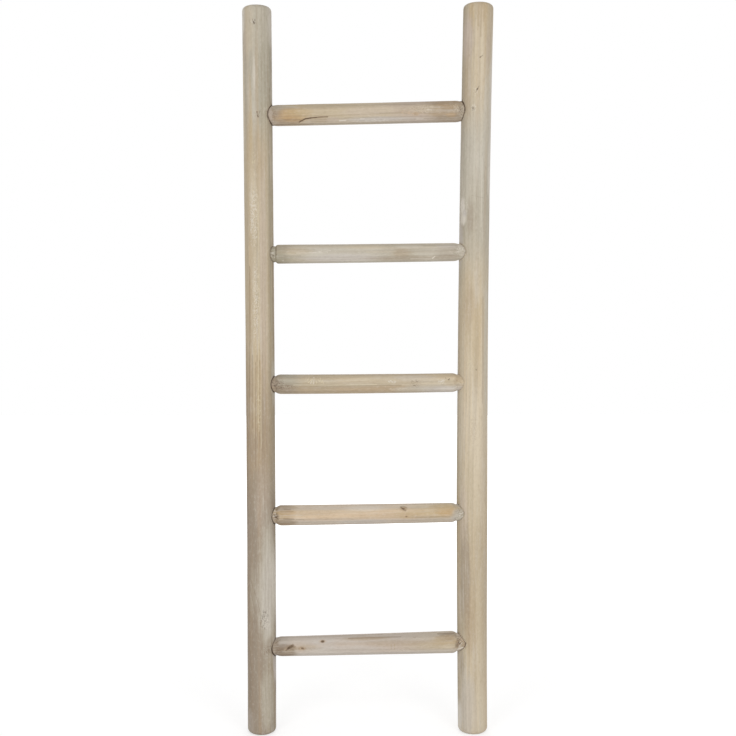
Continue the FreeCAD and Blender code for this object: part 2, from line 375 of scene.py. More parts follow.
# Poles: sawn stems, planed by hand, with a blind bore for each rung
# Marks: height in mm, turn in degrees (0 to the front, 90 to the right), length, width, tone, strength
# Lines: width, tone and strength, then the height and turn of each point
plainPole = {
    "outside": 255.25, "endRound": 9.0, "segments": 104, "ringGap": 2.6,
    "endShares": (0.06, 0.3, 0.55, 0.8, 0.95), "roundSteps": 8, "swellPlace": 0.32, "swellSpread": 0.16,
    "strokes": 60, "strokeReach": (90, 320), "strokeDepth": (0.1, 0.45), "ripple": 0.35,
    "seamInset": 0.2, "seamRun": 0.6, "seamSpread": 0.8, "sway": 9.0, "toneWander": 120.0, "knots": [],
}
leftPole = {
    **plainPole, "node": "left_pole", "seed": 11, "side": -1, "end": 0, "span": 1494.5, "thick": 59.6,
    "swell": 0.4, "toeIn": 1.3, "bow": 1.6, "grainSeed": 2.7, "pith": (26, -34), "ringWidth": 4.6,
    "warm": 0.22, "grey": 0.25, "rings": 0.16, "streaks": 0.2, "wash": 0.32,
    "flats": [
        (-19, 900, 420, 1.1), (22, 960, 460, 1.0), (-62, 820, 420, 0.7), (62, 820, 500, 0.9),
        (-30, 1330, 160, 0.6), (25, 260, 230, 0.9), (-28, 220, 230, 0.8),
    ],
    "dents": [(1458, -7, 5, 4, 0.5), (1274, 5, 4, 3, 0.6)],
    "tones": [
        (0.0, mud), (0.14, mud), (0.3, mud), (0.4, clay), (0.58, beige), (0.78, beige), (0.88, stone),
        (1.0, stone),
    ],
    # painted shade on the inner side: an olive band with a dark umber line at its edge
    "flanks": [(10, 27, 14, olive, 0.5), (26, 29, 4, umber, 0.3)],
    # painted light: the chalk, straw and mist spots at turns past 70 pale the side edges, which the lamps
    # leave dim
    "stains": [
        (1450, -38, 90, 19, straw, 0.6), (1440, 30, 80, 17, stone, 0.6), (1420, -62, 80, 12, rose, 0.4),
        (1465, 72, 70, 14, chalk, 0.65), (1470, -74, 60, 15, chalk, 0.9), (1330, -82, 90, 12, chalk, 0.8),
        (1325, 80, 50, 10, ash, 0.7), (1310, -74, 130, 13, straw, 0.9), (1260, -27, 130, 6, tan, 0.6),
        (1330, 24, 150, 13, olive, 0.4), (1352, -8, 50, 4, chalk, 0.45), (1010, -22, 260, 10, sand, 0.5),
        (940, 20, 330, 11, rose, 0.55), (720, -4, 220, 9, tan, 0.4), (560, -72, 420, 12, umber, 0.35),
        (490, 14, 100, 22, rose, 0.35), (620, 22, 160, 12, mud, 0.35), (604, -18, 60, 18, clay, 0.5),
        (600, -26, 50, 14, mud, 0.35), (458, 58, 60, 18, mud, 0.85), (456, 28, 50, 14, mud, 0.4),
        (1190, 10, 70, 24, clay, 0.25), (310, 36, 190, 30, ash, 0.9), (300, 30, 120, 18, mist, 0.4),
        (325, 66, 90, 12, chalk, 0.6), (180, -52, 230, 16, umber, 0.2), (735, 74, 60, 14, ash, 0.8),
        (300, -34, 70, 12, stone, 0.4), (188, 42, 26, 12, umber, 0.4), (80, 30, 95, 20, stone, 0.75),
        (24, -50, 40, 17, mist, 0.3), (156, 76, 66, 14, mist, 0.9), (520, -8, 60, 16, mud, 0.35),
    ],
    "lines": [
        (1.3, cream, 0.4, 1100, 3, 973, 4, 841, 2, 764, -3, 649, -5),
        (1.7, umber, 0.55, 970, -36, 844, -38, 763, -42, 600, -50),
        (2.6, olive, 0.6, 1190, 56, 1070, 58, 957, 56, 840, 58),
        (1.8, umber, 0.4, 1000, 74, 900, 72, 800, 74), (1.0, umber, 0.4, 790, -27, 640, -29),
        (1.0, cream, 0.4, 800, -21, 620, -22), (1.2, umber, 0.4, 775, -13, 690, -15, 560, -17),
        (1.0, umber, 0.35, 790, -7, 600, -9), (1.1, umber, 0.35, 780, 3, 610, 1),
        (1.0, cream, 0.35, 730, 8, 600, 7), (1.3, umber, 0.3, 790, 15, 690, 14, 540, 12),
        (1.1, umber, 0.4, 345, -52, 318, -38, 286, -12, 262, -2),
        (1.1, umber, 0.35, 330, -60, 300, -42, 258, -22), (0.9, cream, 0.35, 811, -15, 809, 14),
        (0.9, cream, 0.3, 803, -14, 802, 8), (1.5, umber, 0.5, 1330, 60, 1312, 57, 1297, 66),
        (1.2, bark, 0.5, 1281, 0, 1271, 5), (1.1, bark, 0.4, 1281, 13, 1274, 8),
        (1.9, bark, 0.7, 1272, 5, 1270, 6), (1.7, bark, 0.55, 1459, -8, 1455, -6),
        (1.4, bark, 0.45, 1463, -3, 1461, -2), (1.2, umber, 0.5, 1463, -12, 1460, -13),
        (1.8, bark, 0.5, 248, 8, 246, 9), (1.8, bark, 0.45, 253, 31, 250, 31),
        (1.8, bark, 0.45, 227, 17, 225, 17),
    ],
    "flecks": [
        (1184, -14, 30, 7, cream, 0.7), (1090, -14, 130, 17, straw, 0.8), (900, -8, 190, 14, straw, 0.7),
        (690, -2, 120, 9, cream, 0.5),
    ],
    "specks": [
        (1458, -7, 9, 7, bark, 0.5), (1460, -14, 8, 8, chalk, 0.5), (1276, 7, 12, 9, umber, 0.5),
        (245, 16, 36, 16, bark, 0.5), (238, 24, 34, 15, chalk, 0.45), (182, 52, 22, 11, bark, 0.5),
        (179, 26, 24, 14, umber, 0.55), (1070, -16, 110, 16, chalk, 0.65), (900, -12, 150, 12, chalk, 0.55),
    ],
    "checks": [(1494.5, (9, 8), (-3, -15)), (0.0, (-8, 4), (12, 11))],
}
rightPole = {
    **plainPole, "node": "right_pole", "seed": 23, "side": 1, "end": 1, "span": 1500.0, "thick": 61.5,
    "swell": 2.9, "toeIn": 6.8, "bow": 5.8, "grainSeed": 9.4, "pith": (-30, -28), "ringWidth": 5.2,
    "warm": 0.18, "grey": 0.2, "rings": 0.14, "streaks": 0.16, "wash": 0.35,
    "flats": [
        (-36, 1330, 170, 0.9), (4, 1330, 180, 0.8), (16, 860, 330, 1.0), (52, 860, 360, 0.9),
        (-22, 860, 330, 0.8), (-26, 330, 230, 1.0), (12, 330, 230, 0.9),
    ],
    "dents": [(1390, 10, 3, 3, 0.5), (1324, -4, 3.5, 3.5, 0.7), (1287, -19, 2.5, 2.5, 0.6)],
    "tones": [
        (0.0, straw), (0.09, sand), (0.16, beige), (0.26, beige), (0.34, sand), (0.43, straw), (0.58, sand),
        (0.7, stone), (0.8, ash), (0.9, sand), (0.97, sand), (1.0, beige),
    ],
    # painted shade on the inner side: an olive band with a dark umber line at its edge
    "flanks": [(-15, -30, 14, olive, 0.3), (-27, -31, 5, umber, 0.3)],
    # painted light: the chalk, straw and mist spots at turns past 70 pale the side edges, which the lamps
    # leave dim
    "stains": [
        (1470, -32, 60, 9, tan, 0.6), (1480, 20, 60, 11, tan, 0.45), (1428, -50, 70, 20, rose, 0.9),
        (1400, 8, 110, 10, straw, 0.6), (1404, 40, 60, 8, rose, 0.5), (1330, -44, 110, 12, clay, 0.5),
        (1325, 76, 120, 18, chalk, 0.95), (1170, 74, 120, 15, chalk, 0.9), (1110, -70, 110, 12, ash, 0.6),
        (1280, 40, 90, 16, ash, 0.5), (1066, -22, 50, 11, mud, 0.5), (1043, -58, 24, 8, mud, 0.45),
        (1015, -76, 60, 15, mist, 0.8), (1092, -60, 24, 10, chalk, 0.9), (1066, -54, 17, 11, chalk, 0.85),
        (1078, -46, 11, 7, mist, 0.8), (850, 10, 190, 14, tan, 0.4), (880, -26, 120, 14, beige, 0.95),
        (889, -22, 60, 14, clay, 0.4), (889, 76, 60, 13, stone, 0.7), (730, -26, 70, 12, beige, 0.4),
        (600, -28, 100, 12, beige, 0.4), (800, 56, 190, 9, ash, 0.6), (590, 7, 130, 8, straw, 0.6),
        (580, 26, 110, 10, straw, 0.45), (540, 38, 170, 12, straw, 0.5), (455, -40, 90, 14, rose, 0.5),
        (330, -32, 150, 17, mud, 0.7), (240, -18, 90, 12, clay, 0.5), (324, 38, 80, 12, sand, 0.4),
        (146, -50, 34, 9, mud, 0.5), (60, -26, 90, 26, mist, 0.5), (30, -74, 50, 15, chalk, 0.9),
        (50, 24, 80, 26, straw, 0.4),
    ],
    "lines": [
        (3.4, clay, 0.4, 1496, -6, 1452, -5), (3.2, clay, 0.45, 1496, 7, 1430, 5),
        (3.0, clay, 0.4, 1496, 17, 1460, 16), (2.6, straw, 0.45, 1462, -12, 1396, -11),
        (1.5, bark, 0.4, 1388, 5, 1392, 15), (1.7, bark, 0.35, 1388, 5, 1389, 7),
        (2.2, bark, 0.6, 1323, -5, 1326, -2), (1.3, bark, 0.35, 1326, -2, 1331, 4),
        (1.2, umber, 0.5, 1318, -9, 1321, -6), (1.7, bark, 0.65, 1288, -20, 1286, -18),
        (1.8, chalk, 0.5, 1292, -12, 1290, -10), (1.4, umber, 0.2, 1113, -18, 1110, 4, 1108, 28),
        (1.8, chalk, 0.3, 1190, 21, 1050, 22), (1.2, umber, 0.25, 1180, 33, 1040, 35),
        (1.5, umber, 0.45, 908, 34, 769, 37, 690, 37), (1.8, bark, 0.4, 760, 8, 759, 9),
        (1.5, bark, 0.55, 209, -65, 206, -53, 199, -39, 193, -34),
    ],
    "flecks": [(1090, -45, 40, 12, chalk, 0.4)],
    "specks": [
        (1288, -14, 15, 10, chalk, 0.6), (1286, -18, 10, 7, bark, 0.45), (1320, -10, 15, 9, chalk, 0.5),
        (770, -20, 30, 12, cream, 0.4), (640, 0, 60, 14, clay, 0.35), (196, -62, 20, 9, bark, 0.45),
    ],
    "checks": [(1500.0, (-10, -2), (14, 9)), (0.0, (2, 12), (-7, -12))],
}


def arch(share):  # 0 at both ends and 1 in the middle
    return 4 * share * (1 - share)


def poleAxis(pole, height):
    share = height / pole["span"]
    inset = pole["toeIn"] * (1 - share) + pole["bow"] * arch(share)
    return pole["side"] * (pole["outside"] - pole["thick"] / 2 - inset)


def poleRadius(pole, height):
    gap = (height / pole["span"] - pole["swellPlace"]) / pole["swellSpread"]
    return (pole["thick"] + pole["swell"] * math.exp(-gap ** 2)) / 2


def poleRings(pole):  # height and share of the full radius, from the foot upwards
    turn, steps = pole["endRound"], pole["roundSteps"]
    radius = pole["thick"] / 2
    end = [(0.0, (radius - turn) / radius * share) for share in pole["endShares"]]
    for step in range(steps + 1):
        bend = math.pi / 2 * step / steps
        end.append((turn * (1 - math.cos(bend)), (radius - turn + turn * math.sin(bend)) / radius))
    top = [(pole["span"] - height, share) for height, share in reversed(end)]
    count = round((pole["span"] - 2 * turn) / pole["ringGap"])
    stem = [(turn + (pole["span"] - 2 * turn) * step / count, 1.0) for step in range(1, count)]
    return end + stem + top


def shapePole(pole):
    rings = poleRings(pole)
    strokes = planeStrokes(pole)

    def skin(height, angle):
        return handShaped(pole, strokes, height, angle, poleRadius(pole, height))

    bm = openTube(pole["segments"], len(rings))
    grain = bm.verts.layers.float_vector.new("grain")
    for v in bm.verts:
        height, share = rings[round(v.co.z)]
        angle = math.atan2(v.co.x, -v.co.y)  # 0 faces the front
        radius = skin(height, angle) * share
        side, depth = radius * math.sin(angle), radius * math.cos(angle)
        v.co = (poleAxis(pole, height) + side, -depth, height)
        v[grain] = (height, side, depth)
    pole["skin"], pole["joints"] = skin, []
    # painted shade round each bore: a dark seam and a soft ring of shade and dirt
    for rung in rungs:
        crossing, gap, grime = (rung[key][pole["end"]] for key in ("crossings", "seams", "grime"))
        run = pole["seamRun"] + gap * pole["seamSpread"]
        pole["joints"].append((crossing, rung["neck"], gap - pole["seamInset"], run, -pole["side"], grime))
    return meshObject(pole["node"] + ".wood", bm)


# Rungs: tapered rounds with a bullnose shoulder and a tenon at each end
# Marks as on the poles, but placed by the distance from the left tenon's end, and a turn of 90 is up
plainRung = {
    "shoulders": (11.0, 11.0), "leftNeckRun": 0.0, "shoulderSteps": 14, "shoulderGap": 2.0,
    "segments": 112, "ringGap": 1.6, "endFace": 1.5, "endShares": (0.06, 0.4, 0.8, 0.97), "endLength": 0.6,
    "tenonSteps": 8, "strokes": 22, "strokeReach": (60, 260), "strokeDepth": (0.15, 0.6), "ripple": 0.3,
    "seamInset": 1.9, "seamRun": 1.7, "pith": (-12, -18), "sway": 7.0, "ringWidth": 4.0,
    "toneWander": 60.0, "warm": 0.2, "grey": 0.2, "rings": 0.16, "streaks": 0.18, "wash": 0.3,
    "knots": [], "flecks": [], "checks": [],
}
# Painted shade: umber bands darken the rungs' top and under edges. In each rung's side bands, mist, chalk
# and straw pale the tops and undersides as painted light from the lamps and floor, and the middle rung's
# clay band is painted shade on its lower half.
shadedTop, faintShadedTop = (16, 20.5, 4, umber, 0.18), (17, 20.5, 3, umber, 0.1)
shadedUnder = (-16.5, -20.5, 4, umber, 0.28)
# On each rung the mud and olive spots on the necks next to the poles, and the darker left end of its tones,
# are painted shade where the rung meets the pole, with some dirt.
bottomRung = {
    **plainRung, "node": "bottom_rung", "thick": (40.4, 45.2), "neck": 18.27, "seed": 31,
    "sag": 0.2, "seams": (1.4, 0.6), "grime": (1.0, 1.0), "grainSeed": 12.1, "ringWidth": 4.4, "warm": 0.08,
    "flats": [(30, 240, 260, 0.8), (-22, 240, 260, 0.8)],
    "dents": [(68, 8, 5, 4, 0.6), (96, 1, 4, 3, 0.4), (138, 41, 4, 3, 0.5)],
    "tones": [(0.0, mud), (0.11, mud), (0.18, rose), (0.6, rose), (0.85, beige), (1.0, clay)],
    "flanks": [(-3, -13, 10, mist, 0.65), (5, 13, 8, mist, 0.5), faintShadedTop, shadedUnder],
    "knots": [(138, 41, 3.3, 0.7), (96, 1, 2.8, 0.4)],
    "stains": [
        (41, 8, 10, 24, mud, 0.8), (58, 26, 20, 9, mist, 0.5), (72, 8, 15, 8, clay, 0.7),
        (62, -30, 30, 14, mud, 0.75), (58, -36, 30, 14, umber, 0.5), (58, 2, 28, 14, umber, 0.6),
        (134, 44, 40, 9, mist, 0.4), (66, -6, 12, 9, clay, 0.5), (134, 8, 44, 16, mist, 0.4),
        (402, 58, 26, 8, mud, 0.8), (106, 4, 36, 8, clay, 0.55), (394, 26, 40, 14, tan, 0.6),
        (398, 44, 30, 9, clay, 0.6), (396, -6, 20, 6, straw, 0.6), (190, -12, 110, 13, mist, 0.5),
        (425, 0, 14, 26, clay, 0.6), (417, -3, 7, 12, umber, 0.5), (230, 52, 70, 7, clay, 0.6),
        (290, 20, 90, 10, clay, 0.35),
    ],
    "lines": [
        (3.0, umber, 0.8, 62, -9, 68, 6), (4.4, umber, 0.8, 68, 6, 76, 20), (3.2, bark, 0.7, 66, 2, 74, 14),
        (2.6, umber, 0.6, 72, 12, 81, 11), (1.8, umber, 0.5, 72, -2, 78, -7),
        (1.8, bark, 0.45, 40, -30, 47, -52, 62, -66), (1.8, umber, 0.5, 40, 38, 50, 60),
        (2.4, umber, 0.4, 192, 54, 257, 55, 300, 55), (2.8, umber, 0.6, 378, 68, 410, 72),
        (1.2, umber, 0.4, 326, 50, 329, 46, 332, 50), (1.7, clay, 0.6, 280, -16, 280, 12),
        (1.7, clay, 0.6, 287, -16, 287, 12), (1.4, bark, 0.35, 414, 46, 424, 28, 429, 12),
        (2.0, bark, 0.5, 420, 12, 422, 4), (1.8, bark, 0.5, 427, -12, 428, -16),
        (2.2, chalk, 0.85, 417, -37, 423, -31, 428, -22),
    ],
    "flecks": [(300, -30, 60, 9, chalk, 0.4), (330, 30, 70, 10, rose, 0.4)],
    "specks": [
        (421, 14, 13, 22, bark, 0.5), (423, -6, 11, 18, chalk, 0.5), (50, -14, 16, 16, umber, 0.5),
        (98, 2, 20, 7, umber, 0.5),
    ],
}
lowerRung = {
    **plainRung, "node": "lower_rung", "thick": (42.9, 40.5), "neck": 17.17, "seed": 37,
    "sag": 0.4, "seams": (1.2, 0.5), "grime": (0.85, 0.8), "grainSeed": 15.3, "ringWidth": 5.0,
    "warm": 0.12,
    "flats": [(12, 240, 270, 1.0), (-40, 240, 270, 1.0), (55, 240, 260, 0.8)],
    "dents": [(305, 40, 5, 4, 0.5), (41, 1, 4, 4, 0.6)],
    "tones": [
        (0.0, clay), (0.12, tan), (0.2, peach), (0.6, peach), (0.84, tan), (0.865, tan), (0.905, stone),
        (1.0, stone),
    ],
    "flanks": [(-3, -11, 7, mist, 0.6), (8, 15, 7, chalk, 0.4), faintShadedTop, shadedUnder],
    "knots": [(305, 40, 2.8, 0.15), (311, -9, 1.8, 0.15)],
    "stains": [
        (62, 26, 26, 15, honey, 0.5), (42, 0, 11, 11, umber, 0.8), (394, 17, 26, 13, honey, 0.5),
        (306, 41, 10, 8, clay, 0.7), (428, 0, 22, 70, stone, 0.9), (412, -10, 10, 22, mist, 0.25),
        (170, 56, 160, 8, rose, 0.5), (60, 58, 32, 15, clay, 0.85), (54, 60, 24, 11, umber, 0.4),
        (60, -36, 34, 14, clay, 0.9), (60, -34, 26, 11, umber, 0.3), (64, -43, 28, 11, umber, 0.35),
        (60, 2, 26, 12, clay, 0.35), (316, 0, 40, 12, tan, 0.5), (225, -42, 70, 10, mist, 0.6),
        (225, 48, 60, 9, chalk, 0.4), (392, 46, 44, 11, tan, 0.75),
    ],
    "lines": [
        (2.8, umber, 0.6, 300, 52, 302.5, 43, 305.5, 34, 309, 28),
        (2.4, umber, 0.3, 301, 53, 306, 57, 311, 47), (1.8, bark, 0.3, 302, 44, 305, 35),
        (2.8, bark, 0.7, 41, 2, 43, -4), (1.8, bark, 0.5, 45, -8, 47, -12),
        (2.0, chalk, 0.7, 38, 45, 40, 43), (1.6, umber, 0.5, 60, 46, 72, 46),
        (1.2, umber, 0.4, 52, 30, 78, 31), (1.4, bark, 0.5, 58, -10, 80, -13),
        (1.1, umber, 0.5, 84, -14, 100, -16), (1.2, umber, 0.25, 90, -18, 200, -17),
        (1.2, umber, 0.3, 330, -15, 400, -16), (1.4, umber, 0.5, 420, 22, 421, 20),
        (1.4, umber, 0.5, 425, -8, 426, -11),
    ],
    "specks": [
        (42, 0, 11, 12, bark, 0.5), (39, 14, 10, 12, chalk, 0.5), (420, 8, 14, 20, umber, 0.45),
        (424, -4, 12, 18, chalk, 0.5),
    ],
}
middleRung = {
    **plainRung, "node": "middle_rung", "thick": (40.6, 39.2), "neck": 16.65, "seed": 41,
    "sag": 0.9, "seams": (1.1, 0.45), "grime": (1.0, 0.45), "grainSeed": 19.7, "ringWidth": 3.6,
    "flats": [(20, 240, 280, 1.1), (-26, 240, 260, 1.2), (62, 240, 260, 0.8)],
    "dents": [(398, 27, 3, 3, 0.5), (327, -11, 3, 3, 0.4)],
    "tones": [(0.0, mud), (0.08, mud), (0.14, olive), (0.26, beige), (0.55, sand), (1.0, sand)],
    "flanks": [(-1.5, -4.5, 2, clay, 0.65), shadedTop, shadedUnder],
    "stains": [
        (40, 2, 14, 26, mud, 0.4), (62, -36, 34, 13, mud, 0.75), (418, 0, 14, 18, tan, 0.5),
        (370, -20, 80, 14, ash, 0.65), (392, -50, 70, 14, mist, 0.8), (325, -40, 50, 10, ash, 0.55),
        (328, 44, 60, 10, mist, 0.35), (66, 44, 34, 13, stone, 0.5), (68, 5, 30, 12, stone, 0.4),
        (349, 10, 60, 10, sand, 0.6), (134, 4, 44, 26, olive, 0.18), (400, 2, 24, 9, beige, 0.55),
        (398, -40, 30, 9, chalk, 0.4),
    ],
    "lines": [
        (1.3, cream, 0.6, 80, -2, 165, -4, 250, -3), (1.6, umber, 0.4, 60, -5, 165, -8, 300, -7),
        (1.8, bark, 0.45, 36, 18, 37, 15), (2.2, bark, 0.5, 40, -8, 42, -10),
        (1.6, bark, 0.4, 45, 2, 47, 3), (1.8, bark, 0.45, 44, -22, 46, -24),
        (1.4, umber, 0.5, 50, 8, 52, 7), (1.6, umber, 0.5, 38, 32, 40, 33),
        (1.3, bark, 0.4, 52, -14, 60, -15), (1.2, bark, 0.35, 68, -12, 70, -12),
        (1.3, cream, 0.75, 112, 50, 109, 30), (1.4, chalk, 0.85, 121, 48, 115, 9),
        (1.3, chalk, 0.75, 122, 45, 121, 6), (1.4, cream, 0.8, 129, 50, 133, 21),
        (1.2, cream, 0.75, 134, 44, 137, 13), (1.2, cream, 0.7, 139, 26, 141, 8),
        (1.3, cream, 0.75, 116, 30, 110, 14), (1.2, cream, 0.7, 126, 24, 127, 10),
        (1.2, clay, 0.5, 117, 48, 112, 22), (1.2, clay, 0.5, 126, 48, 130, 18),
        (1.3, chalk, 0.75, 274, 20, 276, 12), (1.3, chalk, 0.75, 279, 22, 283, 12),
        (1.3, chalk, 0.7, 287, 12, 289, 15), (1.7, chalk, 0.75, 380, 9, 383, 10),
        (1.3, chalk, 0.6, 386, 6, 387, 9), (1.6, bark, 0.5, 325, -11, 329, -10),
        (1.3, bark, 0.4, 331, 17, 333, 14), (1.7, bark, 0.65, 397, 24, 399, 29),
        (1.3, bark, 0.4, 391, 35, 392, 31), (1.2, umber, 0.5, 421, 6, 423, 0),
    ],
    "flecks": [(120, 26, 34, 14, cream, 0.45), (290, -35, 44, 8, straw, 0.7)],
    "specks": [
        (50, 2, 26, 26, bark, 0.45), (64, -14, 44, 9, umber, 0.6), (384, 10, 18, 9, chalk, 0.6),
        (282, 15, 16, 9, chalk, 0.5), (416, 0, 14, 20, straw, 0.6), (330, 4, 22, 16, umber, 0.35),
        (416, 4, 14, 20, umber, 0.4),
    ],
}
upperRung = {
    **plainRung, "node": "upper_rung", "thick": (39.1, 37.3), "neck": 16.39, "seed": 43,
    "sag": 0.4, "seams": (0.8, 0.6), "grime": (0.5, 0.9), "leftNeckRun": 2.5, "shoulders": (5.0, 11.0),
    "grainSeed": 22.9, "warm": 0.1,
    "flats": [(16, 240, 260, 0.9), (-34, 240, 260, 1.0), (58, 240, 260, 0.8)],
    "dents": [(367, -37, 3, 4, 0.4)],
    "tones": [
        (0.0, olive), (0.1, olive), (0.18, stone), (0.3, ash), (0.5, ash), (0.63, stone), (0.85, ash),
        (1.0, ash),
    ],
    "flanks": [(6, 14, 8, straw, 0.35), faintShadedTop, shadedUnder],
    "stains": [
        (180, -34, 110, 12, mist, 0.75), (302, -4, 30, 14, clay, 0.5), (300, -42, 90, 8, mud, 0.45),
        (424, -3, 12, 22, stone, 0.6), (80, 14, 50, 10, beige, 0.6), (38, 0, 10, 24, olive, 0.95),
        (56, 0, 18, 24, olive, 0.45), (395, -40, 42, 12, mud, 0.5), (398, 0, 36, 14, mud, 0.3),
        (316, 46, 40, 9, chalk, 0.4), (398, 44, 36, 9, mist, 0.5), (225, 46, 60, 9, straw, 0.5),
        (62, 46, 26, 9, mud, 0.3),
    ],
    "lines": [
        (1.4, chalk, 0.45, 88, 3, 140, 4), (1.6, straw, 0.45, 230, 5, 290, 4),
        (1.4, umber, 0.35, 62, -14, 96, -15), (1.2, chalk, 0.4, 320, -46, 360, -50),
        # painted shade: the bark line at 46 mm runs along the left shoulder's edge
        (1.8, chalk, 0.85, 364, -46, 369, -33), (1.9, bark, 0.6, 46, 56, 46, 20, 46, -8),
        (2.0, bark, 0.55, 40, -11, 41, -13), (1.6, umber, 0.6, 36, 15, 37, 18),
        (1.8, chalk, 0.35, 38, 3, 39, 7), (1.5, chalk, 0.5, 42, -28, 43, -25),
        (1.6, umber, 0.5, 34, -24, 35, -26), (0.9, umber, 0.3, 413, 30, 413, -30),
        (1.6, chalk, 0.5, 58, -48, 61, -48),
    ],
    "flecks": [(140, 12, 60, 6, chalk, 0.45)],
    "specks": [
        (39, 2, 10, 18, chalk, 0.3), (40, -6, 11, 16, bark, 0.5), (420, 8, 14, 20, chalk, 0.6),
        (412, 0, 14, 18, olive, 0.7), (428, 0, 8, 20, umber, 0.3),
    ],
}
topRung = {
    **plainRung, "node": "top_rung", "thick": (42.4, 43.7), "neck": 20.22, "seed": 47,
    "sag": 0.0, "seams": (1.5, 1.5), "grime": (1.0, 1.0), "grainSeed": 26.2, "rings": 0.24, "streaks": 0.28,
    "warm": 0.1,
    "flats": [(8, 240, 260, 0.8), (-44, 240, 270, 1.0), (50, 240, 260, 0.8)],
    "dents": [(96, -50, 5, 2, 0.6), (107, -33, 6, 2, 0.6), (121, -27, 7, 2, 0.6), (136, -24, 8, 2, 0.5)],
    "tones": [
        (0.0, rose), (0.07, mud), (0.12, clay), (0.16, tan), (0.28, beige), (0.5, sand), (0.7, rose),
        (0.84, clay), (0.93, clay), (1.0, clay),
    ],
    "flanks": [(-9, -17, 9, mist, 0.35), shadedTop, shadedUnder],
    "stains": [
        (34, 2, 10, 26, rose, 0.5), (52, 12, 13, 20, mud, 0.5), (60, 44, 36, 12, stone, 0.6),
        (72, 2, 24, 16, honey, 0.42), (96, 0, 38, 14, tan, 0.5), (64, -30, 26, 12, honey, 0.35),
        (76, -47, 32, 10, umber, 0.5), (134, -42, 30, 9, clay, 0.5), (162, -40, 20, 8, rose, 0.5),
        (260, -46, 90, 8, mist, 0.8), (390, 0, 46, 20, clay, 0.95), (396, -46, 40, 9, mud, 0.5),
        (322, 0, 44, 12, clay, 0.45), (400, 0, 26, 10, mud, 0.35), (225, 0, 60, 13, rose, 0.45),
        (330, -19, 9, 6, honey, 0.35), (388, 32, 18, 7, honey, 0.25), (402, -28, 14, 7, honey, 0.4),
        (398, 13, 14, 6, honey, 0.2), (426, -4, 11, 24, stone, 0.6), (418, -10, 10, 18, mud, 0.5),
        (86, -32, 30, 12, honey, 0.45), (340, 20, 40, 12, straw, 0.4),
    ],
    "lines": [
        (1.8, umber, 0.9, 94, -54, 98, -46, 107, -32, 120, -27, 134, -24, 152, -23),
        (2.6, umber, 0.7, 95, -52, 98, -46, 108, -32, 118, -28),
        (2.6, umber, 0.6, 48, -68, 90, -70, 122, -70), (1.1, bark, 0.7, 96, -50, 107, -32, 130, -26),
        (1.4, umber, 0.35, 150, 46, 260, 44, 330, 42), (1.6, tan, 0.5, 200, 56, 300, 55),
        (2.2, chalk, 0.7, 176, -50, 188, -49), (1.8, chalk, 0.6, 218, -41, 226, -40),
        (1.4, chalk, 0.6, 354, 3, 362, 0), (1.0, chalk, 0.5, 360, 6, 366, 5),
        (1.4, chalk, 0.5, 332, -49, 346, -50), (1.3, umber, 0.4, 328, -21, 332, -18),
        (0.9, umber, 0.45, 423, 40, 422, 0, 426, -53),
    ],
    "flecks": [(240, -52, 90, 7, chalk, 0.6), (350, 8, 60, 18, straw, 0.5), (320, -12, 50, 14, peach, 0.4)],
    "specks": [
        (345, 6, 50, 18, umber, 0.3), (424, 0, 13, 22, bark, 0.5), (412, 6, 18, 18, straw, 0.5),
        (44, -10, 14, 20, umber, 0.35),
    ],
}
rungs = (bottomRung, lowerRung, middleRung, upperRung, topRung)


def rungEnds(rung):  # middles of the two tenon ends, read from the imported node
    points = [v.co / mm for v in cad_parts[rung["node"]].data.vertices]
    ends = []
    for pick in (min, max):
        edge = pick(p.x for p in points)
        face = [p for p in points if abs(p.x - edge) < rung["endFace"]]
        low = Vector([min(p[i] for p in face) for i in range(3)])
        high = Vector([max(p[i] for p in face) for i in range(3)])
        ends.append((low + high) / 2)
    return ends


def shoulderRings(rung, end, start, inwards):  # arc from the neck that runs out along the body
    body, reach, steps = rung["thick"][end] / 2, rung["shoulders"][end], rung["shoulderSteps"]
    halfTurn = math.atan((body - rung["neck"]) / reach)
    bend = reach / math.sin(2 * halfTurn)
    rings = []
    for step in range(steps + 1):
        turn = 2 * halfTurn * (1 - step / steps)
        along = start + inwards * (reach - bend * math.sin(turn))
        rings.append((along, body - bend * (1 - math.cos(turn))))
    return rings


def rungRings(rung):  # place along the axis and radius, from the left tenon's end
    neck, span, steps = rung["neck"], rung["span"], rung["tenonSteps"]
    leftNeck, rightNeck = rung["necks"]
    leftNeck += rung["leftNeckRun"]
    end = [(0.0, neck * share) for share in rung["endShares"]] + [(rung["endLength"], neck)]
    tenon = [(leftNeck * step / steps, neck) for step in range(1, steps)]
    left, right = shoulderRings(rung, 0, leftNeck, 1), shoulderRings(rung, 1, rightNeck, -1)
    bodyFrom, bodyTo = left[-1], right[-1]
    count = round((bodyTo[0] - bodyFrom[0]) / rung["ringGap"])
    body = [tuple(a + (b - a) * step / count for a, b in zip(bodyFrom, bodyTo)) for step in range(1, count)]
    otherTenon = [(rightNeck + (span - rightNeck) * step / steps, neck) for step in range(1, steps)]
    otherEnd = [(span - along, radius) for along, radius in reversed(end)]
    return end + tenon + left + body + right[::-1] + otherTenon + otherEnd


